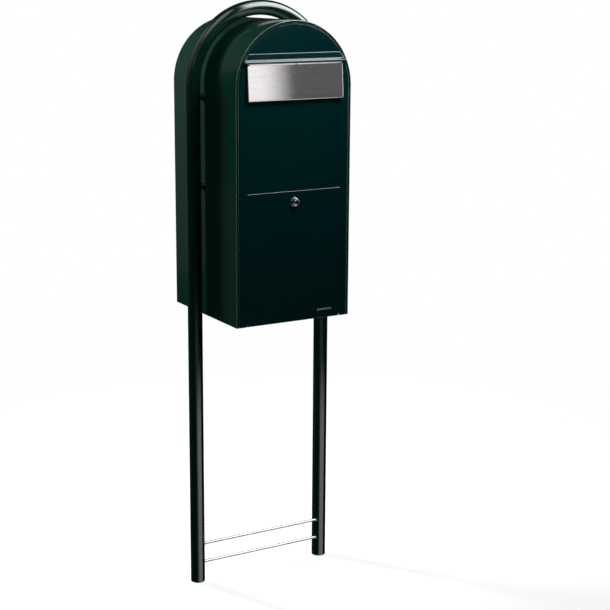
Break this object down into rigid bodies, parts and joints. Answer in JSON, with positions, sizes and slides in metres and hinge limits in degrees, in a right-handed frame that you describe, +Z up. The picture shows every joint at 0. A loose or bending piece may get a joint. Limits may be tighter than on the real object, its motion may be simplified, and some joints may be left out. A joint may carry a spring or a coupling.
{
  "type": "parcel drop box",
  "caption": "Arch-topped steel parcel drop box with a letter flap and a locking lower door, held in a bent tube stand with anchor rods.",
  "frame": {"origin": "on the ground line, at the ends of the legs and midway between them, in the plane of the bent tube", "axes": "+Z up along the legs, -Y out of the front with the flap and the door, +X to the right as seen from the front"},
  "size_m": [0.46, 0.3915, 1.6898],
  "materials": {
    "tube_paint": "gloss",
    "jacket_paint": "gloss",
    "front_paint": "gloss",
    "inner_paint": "gloss",
    "flap_stainless": "satin",
    "stainless_rod": "satin",
    "zinc_steel": "satin",
    "badge_metal": "satin",
    "lock_chrome": "polished",
    "black_plastic": "matte",
    "black_rubber": "matte"
  },
  "bodies": {
    "box": {"stand_tube": "tube_paint", "leg_plug_left": "black_plastic", "leg_plug_right": "black_plastic", "anchor_rod_upper": "stainless_rod", "anchor_rod_lower": "stainless_rod", "tube_inserts": "zinc_steel", "stand_spacers": "black_plastic", "stand_washers": "zinc_steel", "stand_bolts": "zinc_steel", "jacket": "jacket_paint", "back_panel": "jacket_paint", "floor_pan": "jacket_paint", "front_panel": "front_paint", "panel_rivets": "zinc_steel", "slot_hood": "front_paint", "slot_collar": "inner_paint", "chute_plate": "inner_paint", "flap_brackets": "zinc_steel", "flap_rod": "stainless_rod", "flap_bumpers": "black_rubber", "door_seal": "black_rubber", "strike_plate": "zinc_steel", "hinge_brackets": "zinc_steel", "bracket_rivets": "zinc_steel", "hinge_rod": "stainless_rod"},
    "flap": {"letter_flap": "flap_stainless", "flap_sleeves": "flap_stainless"},
    "door": {"door_panel": "front_paint", "door_stiffener": "inner_paint", "hinge_leaves": "zinc_steel", "leaf_rivets": "zinc_steel", "blank_badge": "badge_metal", "lock_ring": "lock_chrome", "lock_body": "lock_chrome", "lock_nut": "zinc_steel"},
    "lock_core": {"lock_plug": "lock_chrome", "lock_cam": "zinc_steel", "cam_washer": "zinc_steel", "cam_screw": "zinc_steel"}
  },
  "joints": [
    {"name": "flap_hinge", "type": "hinge", "parent": "box", "child": "flap", "pos_m": [0, -0.2012, 1.527], "axis": [-1, 0, 0], "range_deg": [0, 75]},
    {"name": "door_hinge", "type": "hinge", "parent": "box", "child": "door", "pos_m": [0, -0.192, 0.818], "axis": [1, 0, 0], "range_deg": [0, 100]},
    {"name": "lock_turn", "type": "hinge", "parent": "door", "child": "lock_core", "pos_m": [0, -0.198, 1.15], "axis": [0, -1, 0], "range_deg": [0, 90]}
  ]
}
